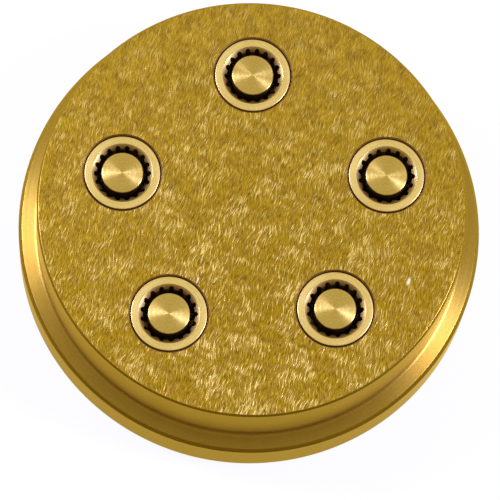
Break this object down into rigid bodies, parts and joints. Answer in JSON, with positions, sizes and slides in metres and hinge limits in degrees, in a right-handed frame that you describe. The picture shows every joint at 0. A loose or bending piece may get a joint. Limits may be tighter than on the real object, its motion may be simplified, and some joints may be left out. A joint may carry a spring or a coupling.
{
  "type": "pasta extrusion die",
  "caption": "Round flanged brass disc with grooved bushes and core pins set into its face; shapes dough into short ribbed tubes on a pasta extruder.",
  "frame": {"origin": "centre of the inlet face, the flat face that the die lies on", "axes": "+Z along the die's axis from inlet face to outlet face; +Y toward insert 1"},
  "size_m": [0.11, 0.11, 0.0305],
  "materials": {
    "body_brass": "turned, brushed face",
    "insert_brass": "fine turned",
    "spider_brass": "milled"
  },
  "bodies": {
    "root": {"die_body": "body_brass", "insert_bush_1": "insert_brass", "insert_bush_2": "insert_brass", "insert_bush_3": "insert_brass", "insert_bush_4": "insert_brass", "insert_bush_5": "insert_brass", "core_pin_1": "insert_brass", "core_pin_2": "insert_brass", "core_pin_3": "insert_brass", "core_pin_4": "insert_brass", "core_pin_5": "insert_brass", "core_spider_1": "spider_brass", "core_spider_2": "spider_brass", "core_spider_3": "spider_brass", "core_spider_4": "spider_brass", "core_spider_5": "spider_brass"}
  },
  "joints": []
}
